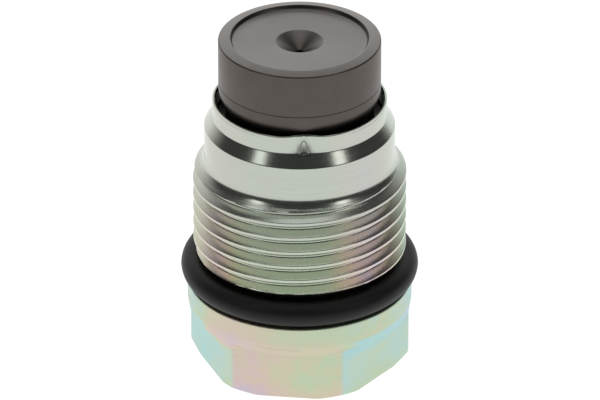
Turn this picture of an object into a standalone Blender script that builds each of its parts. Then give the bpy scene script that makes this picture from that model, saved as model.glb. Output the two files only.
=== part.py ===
"""Screw-in cartridge valve: a spring-loaded pressure relief valve in a threaded, staked holder.

The valve stands on the end face of its hexagon, with +Z along its axis towards the sealing nose.
All dimensions are in millimetres and heights are measured up from the hexagon's end face.
Azimuths are in degrees, 0 towards -Y and 90 towards +X.
"""

import math

import bmesh
import bpy
from mathutils import Matrix, Vector

MM = 0.001
MERGE = 1e-7

# Driving dimensions of the holder: an M20 x 1.5 thread and a hexagon 18 mm across its flats.
THREAD_RADIUS = 9.93
THREAD_PITCH = 1.5
THREAD_DEPTH = 0.87
THREAD_CREST_HEIGHT = 18.8
HEX_ACROSS_FLATS = 18.0
HEX_FLAT_AZIMUTH = -7.4
HEX_TOP = 5.3
HEX_CORNER_RADIUS = 10.32
END_CHAMFER_RADIUS = 9.38
COLLAR_RADIUS = 10.5
COLLAR_BOTTOM = 6.2
COLLAR_TOP = 8.05
NECK_RADIUS = 8.42
THREAD_BOTTOM = 11.25
THREAD_TOP = 20.4
THREAD_TOP_RADIUS = 9.37
BODY_RADIUS = 8.86
BODY_BOTTOM = 21.3
BODY_TOP = 24.25
LIP_RADIUS = 8.1
LIP_BOTTOM = 25.4
LIP_TOP = 27.2
BORE_RADIUS = 7.75
BORE_SHOULDER = 22.9
CHAMBER_RADIUS = 5.9
CHAMBER_END = 3.6

# Stakes in the lip that keep the insert in its bore.
STAKE_COUNT = 3
STAKE_AZIMUTH = 2.8
STAKE_HEIGHT = 26.0

# The ring seal on the neck.
SEAL_TUBE_RADIUS = 1.33
SEAL_RADIUS = 9.76
SEAL_HEIGHT = 9.40

# The hardened insert: its head, waist, flange, guide sleeve, inlet cone and seat.
HEAD_RADIUS = 7.53
HEAD_BOTTOM = 27.65
WAIST_RADIUS = 6.9
FLANGE_RADIUS = 7.65
FLANGE_TOP = 25.1
SLEEVE_RADIUS = 5.0
SLEEVE_BOTTOM = 20.6
RIM_TOP = 33.27
RIM_INNER_RADIUS = 6.4
RIM_LAND = 0.16
RIM_OUTER_DROP = 0.18
DISH_FLOOR = 32.95
INLET_RADIUS = 2.17
INLET_HALF_ANGLE = 60.0
ORIFICE_RADIUS = 0.33
SEAT_TOP = 30.4
SEAT_MOUTH_RADIUS = 1.3
SEAT_MOUTH = 28.8
GUIDE_RADIUS = 3.0
GUIDE_TOP = 27.8
OUTLET_COUNT = 3
OUTLET_RADIUS = 0.8
OUTLET_HEIGHT = 26.4
VENT_WIDTH = 2.4
VENT_FLOOR_RADIUS = 5.6
VENT_TOP = 26.0

# The moving piston and the plate that the spring pushes on.
PISTON_RADIUS = 2.95
PISTON_BOTTOM = 18.55
PISTON_LAND_TOP = 25.2
PISTON_STEM_RADIUS = 1.6
PISTON_FOOT_RADIUS = 2.4
PISTON_GROOVES = (21.9, 22.9, 23.9)
GROOVE_DEPTH = 0.2
GROOVE_WIDTH = 0.3
SEAT_CLEARANCE = 0.12
PLATE_RADIUS = 5.5
PLATE_TOP = 18.5
PLATE_THICKNESS = 1.1
SPIGOT_RADIUS = 3.0
SPIGOT_LENGTH = 1.0

# The spring and what it stands on at the closed end of the holder.
WIRE_RADIUS = 1.0
COIL_RADIUS = 4.4
COIL_TURNS = 3.6
CLOSED_TURNS = 0.8
SPRING_SEAT_RADIUS = 5.6
SPRING_SEAT_BOTTOM = 5.2
SPRING_SEAT_TOP = 6.6
STOP_RADIUS = 1.7
STOP_TOP = 15.25
STOP_FOOT_RADIUS = 2.5
STOP_FOOT_THICKNESS = 0.83
SHIM_RADIUS = 5.4
SHIMS = (("shim_coarse", 0.8), ("shim_medium", 0.4), ("shim_fine", 0.2))
STACK_GAP = 0.05

# How finely round shapes are divided.
OUTER_SEGMENTS = 48
INNER_SEGMENTS = 32
TUBE_SEGMENTS = 12
WIRE_SEGMENTS = 8
COIL_SEGMENTS = 20


def clear_scene():
    """Remove whatever the file holds before the valve is built."""
    for item in list(bpy.data.objects):
        bpy.data.objects.remove(item, do_unlink=True)


def make_material(name, colour, metallic, roughness):
    """Make a plain Principled material."""
    material = bpy.data.materials.new(name)
    material.use_nodes = True
    shader = material.node_tree.nodes["Principled BSDF"]
    shader.inputs["Base Color"].default_value = (*colour, 1.0)
    shader.inputs["Metallic"].default_value = metallic
    shader.inputs["Roughness"].default_value = roughness
    return material


def make_object(name, bm, height=0.0, material=None):
    """Turn a bmesh into an object that stands on the valve's axis at a height."""
    bmesh.ops.recalc_face_normals(bm, faces=bm.faces)
    mesh = bpy.data.meshes.new(name)
    bm.to_mesh(mesh)
    bm.free()
    mesh.shade_smooth()
    mesh.set_sharp_from_angle(angle=math.radians(32))
    if material:
        mesh.materials.append(material)
    item = bpy.data.objects.new(name, mesh)
    item.location.z = height * MM
    bpy.context.collection.objects.link(item)
    return item


def polar(radius, azimuth, height):
    """Return the point at a radius, an azimuth in radians and a height."""
    x = radius * math.sin(azimuth)
    y = -radius * math.cos(azimuth)
    return Vector((x, y, height)) * MM


def arc(centre_radius, centre_height, radius, start, end, steps):
    """Return points along an arc in the (radius, height) plane, with its angles in degrees."""
    points = []
    for step in range(steps + 1):
        angle = math.radians(start + (end - start) * step / steps)
        across = centre_radius + radius * math.cos(angle)
        points.append((across, centre_height + radius * math.sin(angle)))
    return points


def make_ring(bm, radius, height, segments):
    """Add a ring of vertices, or one vertex standing for the whole ring on the axis."""
    if radius == 0:
        return [bm.verts.new(polar(0, 0, height))] * segments
    turn = 2 * math.pi / segments
    return [bm.verts.new(polar(radius, turn * k, height)) for k in range(segments)]


def add_face(bm, corners):
    """Add a face on corners in order, leaving out repeats, unless it would be a mere edge."""
    corners = list(dict.fromkeys(corners))
    if len(corners) > 2:
        bm.faces.new(corners)


def join_rings(bm, lower, upper):
    """Close the band between two rings of equal length."""
    for k, vertex in enumerate(lower):
        add_face(bm, (vertex, lower[k - 1], upper[k - 1], upper[k]))


def turned(name, outline, base, material, segments=INNER_SEGMENTS):
    """Turn an outline of (radius, height) points about the axis.

    An outline that starts and ends on the axis makes a solid piece, and any other is closed
    on itself and makes a ring.
    """
    bm = bmesh.new()
    rings = [make_ring(bm, radius, height - base, segments) for radius, height in outline]
    for lower, upper in zip(rings, rings[1:]):
        join_rings(bm, lower, upper)
    if outline[0][0] > 0:
        join_rings(bm, rings[-1], rings[0])
    return make_object(name, bm, base, material)


def helical_band(bm, low_ring, high_ring, segments):
    """Fill the space between two rings with a right-hand thread that runs out at both ends."""
    crest = THREAD_PITCH / 8
    flank = THREAD_DEPTH * math.tan(math.radians(30))
    root_radius = THREAD_RADIUS - THREAD_DEPTH
    rows = (
        (0.0, THREAD_RADIUS),
        (crest, THREAD_RADIUS),
        (crest + flank, root_radius),
        (THREAD_PITCH - flank, root_radius),
    )
    first_crest = THREAD_CREST_HEIGHT - crest / 2
    turns_below = math.ceil((first_crest - THREAD_BOTTOM) / THREAD_PITCH) + 1
    bottom_radius = low_ring[0].co.xy.length / MM
    top_radius = high_ring[0].co.xy.length / MM
    skip = 0.012
    made = {}

    def vertex(row, column):
        if row == len(rows):
            row, column = 0, column + segments
        offset, radius = rows[row]
        rise = THREAD_PITCH * column / segments
        height = first_crest - turns_below * THREAD_PITCH + rise + offset
        if height < THREAD_BOTTOM + skip:
            return low_ring[column % segments]
        if height > THREAD_TOP - skip:
            return high_ring[column % segments]
        if (row, column) not in made:
            at_bottom = bottom_radius + (height - THREAD_BOTTOM)
            at_top = top_radius + (THREAD_TOP - height)
            azimuth = 2 * math.pi * column / segments
            radius = min(radius, at_bottom, at_top)
            made[row, column] = bm.verts.new(polar(radius, azimuth, height))
        return made[row, column]

    turns = turns_below + math.ceil((THREAD_TOP - first_crest) / THREAD_PITCH) + 1
    for column in range(turns * segments):
        for row in range(len(rows)):
            lower = (vertex(row, column), vertex(row, column + 1))
            upper = (vertex(row + 1, column + 1), vertex(row + 1, column))
            add_face(bm, lower + upper)


def holder_outside_below_thread():
    """Outline of the holder from the centre of its end face up to the thread."""
    return [
        (0, 0),
        (END_CHAMFER_RADIUS, 0),
        (HEX_CORNER_RADIUS, 0.6),
        (HEX_CORNER_RADIUS, HEX_TOP - 0.2),
        (COLLAR_RADIUS, COLLAR_BOTTOM),
        (COLLAR_RADIUS, COLLAR_TOP),
        (NECK_RADIUS, COLLAR_TOP),
        (NECK_RADIUS, THREAD_BOTTOM - 0.25),
        (THREAD_RADIUS - THREAD_DEPTH - 0.1, THREAD_BOTTOM),
    ]


def holder_outside_above_thread():
    """Outline of the holder from the top of the thread, over the lip and down the bore."""
    fillet = arc(BODY_RADIUS + 1.0, BODY_BOTTOM, 1.0, 238, 180, 4)
    flare = [(BODY_RADIUS, BODY_TOP), (LIP_RADIUS, LIP_BOTTOM)]
    lip = [
        (LIP_RADIUS - 0.05, LIP_TOP - 0.08),
        (LIP_RADIUS - 0.12, LIP_TOP),
        (LIP_RADIUS - 0.2, LIP_TOP),
        (BORE_RADIUS, LIP_TOP - 0.3),
    ]
    bore = [
        (BORE_RADIUS, BORE_SHOULDER),
        (CHAMBER_RADIUS, BORE_SHOULDER),
        (CHAMBER_RADIUS, CHAMBER_END + 0.3),
        (CHAMBER_RADIUS - 0.3, CHAMBER_END),
        (0, CHAMBER_END),
    ]
    return [(THREAD_TOP_RADIUS, THREAD_TOP)] + fillet + flare + lip + bore


def add_boolean(item, cutter, operation):
    """Cut a piece with a hidden cutter, or add the cutter's shape to it."""
    cutter.hide_render = True
    cutter.display_type = "WIRE"
    modifier = item.modifiers.new(cutter.name, "BOOLEAN")
    modifier.operation = operation
    modifier.object = cutter
    modifier.solver = "EXACT"


def hex_flat_cutter(index):
    """Make the prism that mills one flat up to the ledge under the collar."""
    inner = HEX_ACROSS_FLATS / 2
    outer = inner + 3.0
    side = [(inner, -1.0), (outer, -1.0), (outer, HEX_TOP), (inner, HEX_TOP)]
    bm = bmesh.new()
    half_length = 8.0
    corners = [bm.verts.new(Vector((-half_length, -out, up)) * MM) for out, up in side]
    face = bm.faces.new(corners)
    grown = bmesh.ops.extrude_face_region(bm, geom=[face])
    moved = [part for part in grown["geom"] if isinstance(part, bmesh.types.BMVert)]
    bmesh.ops.translate(bm, verts=moved, vec=(2 * half_length * MM, 0, 0))
    azimuth = math.radians(HEX_FLAT_AZIMUTH + 60 * index)
    bmesh.ops.rotate(bm, verts=bm.verts, matrix=Matrix.Rotation(azimuth, 3, "Z"))
    return make_object(f"flat_cutter_{index + 1}", bm)


def ellipsoid(name, centre, size, azimuth):
    """Make an ellipsoid whose size is given along the radius, round the axis and upwards."""
    bm = bmesh.new()
    bmesh.ops.create_icosphere(bm, subdivisions=2, radius=1.0)
    across, around, up = size
    bmesh.ops.scale(bm, verts=bm.verts, vec=Vector((around, across, up)) * MM)
    bmesh.ops.rotate(bm, verts=bm.verts, matrix=Matrix.Rotation(azimuth, 3, "Z"))
    bmesh.ops.translate(bm, verts=bm.verts, vec=centre)
    return make_object(name, bm)


def add_stakes(holder):
    """Stake the lip over the insert's flange: a punch mark outside and a bump inside."""
    for index in range(STAKE_COUNT):
        azimuth = math.radians(STAKE_AZIMUTH + 360 * index / STAKE_COUNT)
        inside = polar(BORE_RADIUS, azimuth, STAKE_HEIGHT - 0.25)
        bump = ellipsoid(f"stake_bump_{index + 1}", inside, (0.4, 0.6, 0.55), azimuth)
        add_boolean(holder, bump, "UNION")
        outside = polar(LIP_RADIUS + 0.15, azimuth, STAKE_HEIGHT)
        punch = ellipsoid(f"stake_punch_{index + 1}", outside, (0.45, 0.5, 0.65), azimuth)
        add_boolean(holder, punch, "DIFFERENCE")


def make_holder(material):
    """Make the threaded holder with its hexagon, collar, neck, thread, lip and stakes."""
    bm = bmesh.new()
    below = [make_ring(bm, r, z, OUTER_SEGMENTS) for r, z in holder_outside_below_thread()]
    above = [make_ring(bm, r, z, OUTER_SEGMENTS) for r, z in holder_outside_above_thread()]
    for rings in (below, above):
        for lower, upper in zip(rings, rings[1:]):
            join_rings(bm, lower, upper)
    helical_band(bm, below[-1], above[0], OUTER_SEGMENTS)
    holder = make_object("valve_holder", bm, 0.0, material)
    for index in range(6):
        add_boolean(holder, hex_flat_cutter(index), "DIFFERENCE")
    add_stakes(holder)
    return holder


def make_seal(material):
    """Make the ring seal that sits on the neck against the collar."""
    tube = arc(SEAL_RADIUS, SEAL_HEIGHT, SEAL_TUBE_RADIUS, 0, 360, TUBE_SEGMENTS)
    return turned("flange_o_ring", tube[:-1], SEAL_HEIGHT, material, OUTER_SEGMENTS)


def insert_outline():
    """Outline of the insert: up its outside, over the rim and down through its bore."""
    inlet_depth = (INLET_RADIUS - ORIFICE_RADIUS) / math.tan(math.radians(INLET_HALF_ANGLE))
    flange_bottom = BORE_SHOULDER + STACK_GAP
    outside = [
        (GUIDE_RADIUS + 0.2, SLEEVE_BOTTOM),
        (SLEEVE_RADIUS - 0.2, SLEEVE_BOTTOM),
        (SLEEVE_RADIUS, SLEEVE_BOTTOM + 0.2),
        (SLEEVE_RADIUS, flange_bottom),
        (FLANGE_RADIUS - 0.25, flange_bottom),
        (FLANGE_RADIUS, flange_bottom + 0.25),
        (FLANGE_RADIUS, FLANGE_TOP),
        (WAIST_RADIUS, FLANGE_TOP),
        (WAIST_RADIUS, HEAD_BOTTOM - 0.45),
        (HEAD_RADIUS, HEAD_BOTTOM),
    ]
    rim = [
        (HEAD_RADIUS, RIM_TOP - RIM_OUTER_DROP - 0.09),
        (HEAD_RADIUS - 0.08, RIM_TOP - RIM_OUTER_DROP),
        (RIM_INNER_RADIUS + RIM_LAND, RIM_TOP),
        (RIM_INNER_RADIUS, RIM_TOP),
        (RIM_INNER_RADIUS - 0.03, RIM_TOP - 0.08),
        (RIM_INNER_RADIUS - 0.16, DISH_FLOOR + 0.08),
        (RIM_INNER_RADIUS - 0.5, DISH_FLOOR),
    ]
    inside = [
        (INLET_RADIUS, DISH_FLOOR),
        (ORIFICE_RADIUS, DISH_FLOOR - inlet_depth),
        (ORIFICE_RADIUS, SEAT_TOP),
        (SEAT_MOUTH_RADIUS, SEAT_MOUTH),
        (GUIDE_RADIUS, GUIDE_TOP),
        (GUIDE_RADIUS, SLEEVE_BOTTOM + 0.2),
    ]
    return outside + rim + inside


def outlet_cutter(index):
    """Make the drill for one outlet hole, from the guide bore out through the waist."""
    bm = bmesh.new()
    length = 5.0
    turn = math.radians(360 * index / OUTLET_COUNT)
    lay_down = Matrix.Rotation(math.radians(90), 4, "X")
    bmesh.ops.create_cone(
        bm,
        cap_ends=True,
        segments=16,
        radius1=OUTLET_RADIUS * MM,
        radius2=OUTLET_RADIUS * MM,
        depth=length * MM,
        matrix=lay_down,
    )
    centre = Vector((0, -(GUIDE_RADIUS - 0.6 + length / 2), OUTLET_HEIGHT)) * MM
    bmesh.ops.translate(bm, verts=bm.verts, vec=centre)
    bmesh.ops.rotate(bm, verts=bm.verts, matrix=Matrix.Rotation(turn, 3, "Z"))
    return make_object(f"outlet_drill_{index + 1}", bm)


def vent_cutter(index):
    """Make the slot that joins the spring chamber to the space round the waist."""
    bm = bmesh.new()
    bmesh.ops.create_cube(bm, size=1.0)
    depth = FLANGE_RADIUS - VENT_FLOOR_RADIUS + 1.0
    height = VENT_TOP - BORE_SHOULDER + 1.0
    bmesh.ops.scale(bm, verts=bm.verts, vec=Vector((VENT_WIDTH, depth, height)) * MM)
    centre = Vector((0, -(VENT_FLOOR_RADIUS + depth / 2), VENT_TOP - height / 2)) * MM
    bmesh.ops.translate(bm, verts=bm.verts, vec=centre)
    turn = math.radians(360 * (index + 0.5) / OUTLET_COUNT)
    bmesh.ops.rotate(bm, verts=bm.verts, matrix=Matrix.Rotation(turn, 3, "Z"))
    return make_object(f"vent_cutter_{index + 1}", bm)


def make_insert(material):
    """Make the hardened insert, with its outlet holes and vent slots."""
    insert = turned("valve_insert", insert_outline(), 0.0, material, OUTER_SEGMENTS)
    for index in range(OUTLET_COUNT):
        add_boolean(insert, outlet_cutter(index), "DIFFERENCE")
        add_boolean(insert, vent_cutter(index), "DIFFERENCE")
    return insert


def make_piston(material):
    """Make the piston: a foot, a grooved guide land, a stem and a conical tip."""
    outline = [
        (0, PISTON_BOTTOM),
        (PISTON_FOOT_RADIUS - 0.2, PISTON_BOTTOM),
        (PISTON_FOOT_RADIUS, PISTON_BOTTOM + 0.2),
        (PISTON_FOOT_RADIUS, SLEEVE_BOTTOM + 0.1),
        (PISTON_RADIUS, SLEEVE_BOTTOM + 0.4),
    ]
    for height in PISTON_GROOVES:
        low = height - GROOVE_WIDTH / 2
        high = height + GROOVE_WIDTH / 2
        floor = PISTON_RADIUS - GROOVE_DEPTH
        outline += [(PISTON_RADIUS, low), (floor, low), (floor, high), (PISTON_RADIUS, high)]
    taper = (SEAT_TOP - SEAT_MOUTH) / (SEAT_MOUTH_RADIUS - ORIFICE_RADIUS)
    tip_radius = ORIFICE_RADIUS + 0.15
    tip_height = SEAT_TOP - (tip_radius - ORIFICE_RADIUS) * taper - SEAT_CLEARANCE
    stem_top = tip_height - (PISTON_STEM_RADIUS - tip_radius) * taper
    outline += [
        (PISTON_RADIUS, PISTON_LAND_TOP - 0.2),
        (PISTON_RADIUS - 0.2, PISTON_LAND_TOP),
        (PISTON_STEM_RADIUS, PISTON_LAND_TOP),
        (PISTON_STEM_RADIUS, stem_top),
        (tip_radius, tip_height),
        (0, tip_height + 0.05),
    ]
    return turned("valve_piston", outline, PISTON_BOTTOM, material)


def make_spring_plate(material):
    """Make the plate between the spring and the piston, with a spigot inside the coil."""
    under = PLATE_TOP - PLATE_THICKNESS
    outline = [
        (0, under - SPIGOT_LENGTH),
        (SPIGOT_RADIUS - 0.2, under - SPIGOT_LENGTH),
        (SPIGOT_RADIUS, under - SPIGOT_LENGTH + 0.2),
        (SPIGOT_RADIUS, under),
        (PLATE_RADIUS, under),
        (PLATE_RADIUS, PLATE_TOP - 0.2),
        (PLATE_RADIUS - 0.2, PLATE_TOP),
        (0, PLATE_TOP),
    ]
    return turned("spring_plate", outline, under, material)


def coil_rise(turn, height):
    """Height of the wire's centre after some turns, with the end turns wound closed."""
    closed_pitch = 2 * WIRE_RADIUS + 0.08
    open_turns = COIL_TURNS - 2 * CLOSED_TURNS
    open_pitch = (height - 2 * CLOSED_TURNS * closed_pitch) / open_turns
    before = min(turn, CLOSED_TURNS)
    middle = min(max(turn - CLOSED_TURNS, 0.0), open_turns)
    after = max(turn - CLOSED_TURNS - open_turns, 0.0)
    return (before + after) * closed_pitch + middle * open_pitch


def make_spring(material):
    """Make the compression spring, with closed end turns ground flat."""
    bottom = SPRING_SEAT_TOP + STACK_GAP
    top = PLATE_TOP - PLATE_THICKNESS - STACK_GAP
    length = top - bottom
    start = 0.75 * WIRE_RADIUS
    rise = length - 2 * start
    steps = round(COIL_TURNS * COIL_SEGMENTS)
    bm = bmesh.new()
    sections = []
    for step in range(steps + 1):
        turn = COIL_TURNS * step / steps
        azimuth = 2 * math.pi * turn
        centre = start + coil_rise(turn, rise)
        section = []
        for k in range(WIRE_SEGMENTS):
            angle = 2 * math.pi * (k + 0.5) / WIRE_SEGMENTS
            radius = COIL_RADIUS + WIRE_RADIUS * math.cos(angle)
            height = centre + WIRE_RADIUS * math.sin(angle)
            height = min(max(height, 0.0), length)
            section.append(bm.verts.new(polar(radius, azimuth, height)))
        sections.append(section)
    for lower, upper in zip(sections, sections[1:]):
        join_rings(bm, lower, upper)
    bm.faces.new(sections[0])
    bm.faces.new(sections[-1])
    return make_object("valve_spring", bm, bottom, material)


def make_spring_seat(material):
    """Make the ring that the spring stands on, which also holds the stop pin's foot."""
    foot_radius = STOP_FOOT_RADIUS + 0.1
    foot_top = SPRING_SEAT_BOTTOM + STOP_FOOT_THICKNESS + STACK_GAP
    pin_radius = STOP_RADIUS + 0.06
    outline = [
        (foot_radius, SPRING_SEAT_BOTTOM),
        (SPRING_SEAT_RADIUS - 0.1, SPRING_SEAT_BOTTOM),
        (SPRING_SEAT_RADIUS, SPRING_SEAT_BOTTOM + 0.1),
        (SPRING_SEAT_RADIUS, SPRING_SEAT_TOP),
        (SPIGOT_RADIUS, SPRING_SEAT_TOP),
        (SPIGOT_RADIUS, SPRING_SEAT_TOP + 0.8),
        (SPIGOT_RADIUS - 0.2, SPRING_SEAT_TOP + SPIGOT_LENGTH),
        (pin_radius, SPRING_SEAT_TOP + SPIGOT_LENGTH),
        (pin_radius, foot_top),
        (foot_radius, foot_top),
    ]
    return turned("spring_seat", outline, SPRING_SEAT_BOTTOM, material)


def make_stop_pin(material):
    """Make the pin inside the spring that limits how far the piston can open."""
    foot_top = SPRING_SEAT_BOTTOM + STOP_FOOT_THICKNESS
    outline = [
        (0, SPRING_SEAT_BOTTOM),
        (STOP_FOOT_RADIUS, SPRING_SEAT_BOTTOM),
        (STOP_FOOT_RADIUS, foot_top),
        (STOP_RADIUS, foot_top),
        (STOP_RADIUS, STOP_TOP - 0.2),
        (STOP_RADIUS - 0.2, STOP_TOP),
        (0, STOP_TOP),
    ]
    return turned("stop_pin", outline, SPRING_SEAT_BOTTOM, material)


def make_shims(material):
    """Make the stack of shims at the closed end, whose thicknesses set the spring's preload."""
    bottom = CHAMBER_END + STACK_GAP
    for name, thickness in SHIMS:
        top = bottom + thickness
        outline = [(0, bottom), (SHIM_RADIUS, bottom), (SHIM_RADIUS, top), (0, top)]
        turned(name, outline, bottom, material)
        bottom = top + STACK_GAP


def main():
    """Build the valve."""
    clear_scene()
    plated = make_material("zinc_plated_steel", (0.62, 0.65, 0.58), 0.9, 0.3)
    hardened = make_material("hardened_steel", (0.09, 0.085, 0.08), 0.6, 0.45)
    rubber = make_material("black_rubber", (0.012, 0.012, 0.013), 0.0, 0.5)
    ground = make_material("ground_steel", (0.6, 0.6, 0.61), 1.0, 0.2)
    wire = make_material("spring_steel", (0.2, 0.19, 0.19), 0.9, 0.35)
    strip = make_material("shim_steel", (0.5, 0.5, 0.52), 1.0, 0.3)
    make_holder(plated)
    make_seal(rubber)
    make_insert(hardened)
    lift = bpy.data.objects.new("piston_lift", None)
    bpy.context.collection.objects.link(lift)
    for moving in (make_piston(ground), make_spring_plate(ground)):
        moving.parent = lift
    make_spring(wire)
    make_spring_seat(ground)
    make_stop_pin(ground)
    make_shims(strip)


main()
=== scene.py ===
"""Looks of the screw-in cartridge valve: fine meshes, materials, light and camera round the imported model.

Lengths in this file are millimetres unless a name says otherwise, and heights are measured up from
the hexagon's end face. Azimuths are radians, 0 towards -Y and a quarter turn towards +X.
"""

import math

import bmesh
import bpy
import numpy as np
from mathutils import Matrix, Vector, noise


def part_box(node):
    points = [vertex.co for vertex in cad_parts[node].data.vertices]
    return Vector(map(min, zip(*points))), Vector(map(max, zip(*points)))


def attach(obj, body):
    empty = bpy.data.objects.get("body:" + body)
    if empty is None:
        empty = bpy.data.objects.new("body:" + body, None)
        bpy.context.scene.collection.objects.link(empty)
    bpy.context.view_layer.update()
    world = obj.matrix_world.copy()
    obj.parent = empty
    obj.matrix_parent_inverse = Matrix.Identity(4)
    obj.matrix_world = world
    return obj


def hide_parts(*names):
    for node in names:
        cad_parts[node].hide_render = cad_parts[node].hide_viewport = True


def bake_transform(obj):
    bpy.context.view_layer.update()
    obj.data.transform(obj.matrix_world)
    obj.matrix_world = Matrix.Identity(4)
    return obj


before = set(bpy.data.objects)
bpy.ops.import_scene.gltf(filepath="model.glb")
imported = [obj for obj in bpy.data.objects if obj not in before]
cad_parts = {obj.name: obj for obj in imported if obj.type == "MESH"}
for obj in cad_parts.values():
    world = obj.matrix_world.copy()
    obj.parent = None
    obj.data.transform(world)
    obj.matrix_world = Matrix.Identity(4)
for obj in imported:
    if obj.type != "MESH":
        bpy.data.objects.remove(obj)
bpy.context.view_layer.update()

MM = 0.001

# The holder: an M20 x 1.5 thread and a hexagon 18 mm across its flats.
THREAD_RADIUS = 9.93
THREAD_PITCH = 1.5
THREAD_CREST_WIDTH = 0.29
THREAD_ROOT_ROUNDING = 0.2165
THREAD_ROOT_RADIUS = 9.13
THREAD_CREST_HEIGHT = 18.97
HEX_APOTHEM = 9.0
HEX_FLAT_AZIMUTH = math.radians(-7.4)
HEX_TOP = 5.3
HEX_FILLET = 0.45
HEX_CORNER_RADIUS = 10.32
HEX_CORNER_ROUNDING = 0.16
END_CHAMFER_RADIUS = 9.38
END_CHAMFER_HEIGHT = 0.6
COLLAR_RADIUS = 10.5
COLLAR_BOTTOM = 6.2
COLLAR_TOP = 8.17
NECK_RADIUS = 8.75
THREAD_BOTTOM = 10.8
THREAD_TOP = 20.3
THREAD_TOP_RADIUS = 9.27
BODY_RADIUS = 8.86
BODY_BOTTOM = 21.3
BODY_FILLET = 1.35
BODY_TOP = 24.25
LIP_RADIUS = 8.1
LIP_BOTTOM = 25.4
LIP_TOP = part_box("valve_holder")[1].z / MM
BORE_RADIUS = 7.75
BORE_SHOULDER = 22.9
CHAMBER_RADIUS = 5.9
CHAMBER_END = 3.6
FORGING_SWING = 0.14
FORGING_REACH = 0.6

# The three stake marks: how the lip leans in at each, and the bell that the punch leaves.
STAKE_AZIMUTHS = [math.radians(2.8 + 120 * k) for k in range(3)]
STAKE_BEND_WIDTH = 2.2
STAKE_BEND_NARROWING = 0.45
STAKE_LEAN = 0.19
STAKE_BOW = 0.085
STAKE_BOW_HEIGHT = 0.7
STAKE_RISE = 0.12
STAKE_RISE_PUSH = 0.22
PUNCH_TOP = LIP_BOTTOM + 1.25
PUNCH_ARCH = 0.5
PUNCH_FOOT = 0.06
PUNCH_HALF_WIDTH = 0.3
PUNCH_FLARE = 0.13
PUNCH_DEPTH = 0.15
CREASE_HALF_WIDTH = 0.1
CREASE_DEPTH = 0.06

# The ring seal, which lies on the neck.
SEAL_TUBE_RADIUS = 1.17
SEAL_HEIGHT = 9.55
MOULDING_LINE = 0.012

# The insert.
HEAD_RADIUS = 7.53
HEAD_BOTTOM = 27.13
HEAD_ROUNDING = 2.7
WAIST_RADIUS = 6.9
FLANGE_RADIUS = 7.65
FLANGE_TOP = 25.1
SLEEVE_RADIUS = 5.0
RIM_INNER_RADIUS = 6.4
RIM_LAND = 0.16
MARK_HEIGHT = 28.93
MARK_HALF_WIDTH = 0.06
MARK_DEPTH = 0.04
DISH_FLOOR = 32.87
INLET_RADIUS = 2.22
INLET_BOTTOM = 31.78
ORIFICE_RADIUS = 0.33
SEAT_TOP = 30.4
SEAT_MOUTH_RADIUS = 1.3
SEAT_MOUTH = 28.8
GUIDE_RADIUS = 3.0
GUIDE_TOP = 27.8
OUTLET_RADIUS = 0.8
OUTLET_HEIGHT = 26.4
VENT_WIDTH = 2.4
VENT_FLOOR_RADIUS = 5.6
VENT_TOP = 26.0

# The pieces inside.
PISTON_FOOT_RADIUS = 2.4
PISTON_FOOT_TOP = 20.7
LAND_BOTTOM = 21.0
LAND_TOP = 25.2
PISTON_GROOVES = (21.9, 22.9, 23.9)
GROOVE_HALF_WIDTH = 0.15
GROOVE_DEPTH = 0.2
STEM_RADIUS = 1.6
STEM_TOP = 28.19
TIP_RADIUS = 0.48
WIRE_RADIUS = 1.0
COIL_RADIUS = 4.4
COIL_TURNS = 3.6
CLOSED_TURNS = 0.8
CLOSED_PITCH = 2 * WIRE_RADIUS + 0.08
SPIGOT_RADIUS = 3.0
SPIGOT_LENGTH = 1.0
PIN_RADIUS = 1.7
PIN_FOOT_HEIGHT = 0.83

# How finely the holder is divided, round the axis, at the stakes and along its outline.
HOLDER_COLUMNS = 480
STAKE_COLUMNS = 97
STAKE_REACH = 1.5
COLLAR_STEP = 0.11
THREAD_STEP = 0.12
NOSE_STEP = 0.07


def span(node):
    """Lowest height, highest height and outer radius of a CAD node."""
    low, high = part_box(node)
    return low.z / MM, high.z / MM, high.x / MM


# ---------------------------------------------------------------- turned shapes


def polar(radius, azimuth, height):
    """Points in metres, from arrays of radii and azimuths and one height or an array of heights."""
    x = radius * np.sin(azimuth)
    y = -radius * np.cos(azimuth)
    return np.stack([x, y, np.broadcast_to(height, x.shape)], axis=-1) * MM


def finish_mesh(name, vertices, faces, sharp_angle=35):
    """Make an object with outward, smooth faces and creases only at real edges."""
    mesh = bpy.data.meshes.new(name)
    mesh.from_pydata([tuple(v) for v in vertices], [], faces)
    bm = bmesh.new()
    bm.from_mesh(mesh)
    bmesh.ops.recalc_face_normals(bm, faces=bm.faces)
    bm.to_mesh(mesh)
    bm.free()
    mesh.shade_smooth()
    mesh.set_sharp_from_angle(angle=math.radians(sharp_angle))
    item = bpy.data.objects.new(name, mesh)
    bpy.context.scene.collection.objects.link(item)
    return item


class Skin:
    """Collects the vertices and faces of one piece turned about the axis, ring by ring."""

    def __init__(self, azimuth):
        self.azimuth = azimuth
        self.columns = len(azimuth)
        self.vertices = []
        self.faces = []

    def ring(self, radius, height):
        """Add a ring and return its vertex numbers; a zero radius gives one vertex."""
        start = len(self.vertices)
        if np.ndim(radius) == 0 and radius == 0:
            self.vertices.append((0.0, 0.0, float(np.mean(height)) * MM))
            return [start] * self.columns
        radius = np.broadcast_to(radius, self.azimuth.shape)
        self.vertices.extend(polar(radius, self.azimuth, height))
        return list(range(start, start + self.columns))

    def face(self, corners):
        """Add a face, leaving out repeated corners."""
        corners = list(dict.fromkeys(corners))
        if len(corners) > 2:
            self.faces.append(corners)

    def band(self, lower, upper):
        """Close the band between two rings."""
        for k in range(self.columns):
            self.face((lower[k], lower[k - 1], upper[k - 1], upper[k]))

    def stack(self, rings):
        """Close the bands between rings that follow one another."""
        for lower, upper in zip(rings, rings[1:]):
            self.band(lower, upper)


def even_azimuths(columns):
    """Azimuths spread evenly round the axis."""
    return np.arange(columns) * 2 * math.pi / columns


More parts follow.
